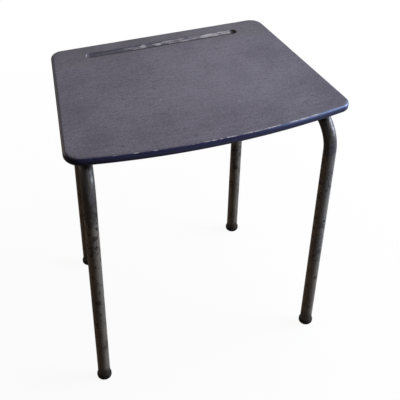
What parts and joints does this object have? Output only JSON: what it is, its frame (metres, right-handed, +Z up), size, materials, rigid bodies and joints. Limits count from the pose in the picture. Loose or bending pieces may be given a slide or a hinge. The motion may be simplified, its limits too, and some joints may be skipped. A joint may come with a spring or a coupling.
{
  "type": "kids desk",
  "caption": "Small school desk for a child: painted plywood top with a bowed front edge and a pencil groove, on bent steel-tube side frames with plug feet.",
  "frame": {"origin": "on the floor, under the middle of the top", "axes": "+Z up, +Y from the sitter's side to the back edge, +X to the sitter's right"},
  "size_m": [0.5294, 0.3679, 0.58],
  "materials": {
    "painted_top": "dark grey-violet paint on plywood, worn along the front edge and in the groove",
    "painted_tube": "dark paint, satin, with small chips and rust",
    "screw_steel": "dulled",
    "foot_rubber": "matt black, scuffed"
  },
  "bodies": {
    "root": {"desk_top": "painted_top", "left_side_frame": "painted_tube", "right_side_frame": "painted_tube", "front_cross_rail": "painted_tube", "rear_cross_rail": "painted_tube", "front_left_fixing_strap": "painted_tube", "front_right_fixing_strap": "painted_tube", "rear_left_fixing_strap": "painted_tube", "rear_right_fixing_strap": "painted_tube", "fixing_screws": "screw_steel", "front_left_foot": "foot_rubber", "front_right_foot": "foot_rubber", "rear_left_foot": "foot_rubber", "rear_right_foot": "foot_rubber"}
  },
  "joints": []
}
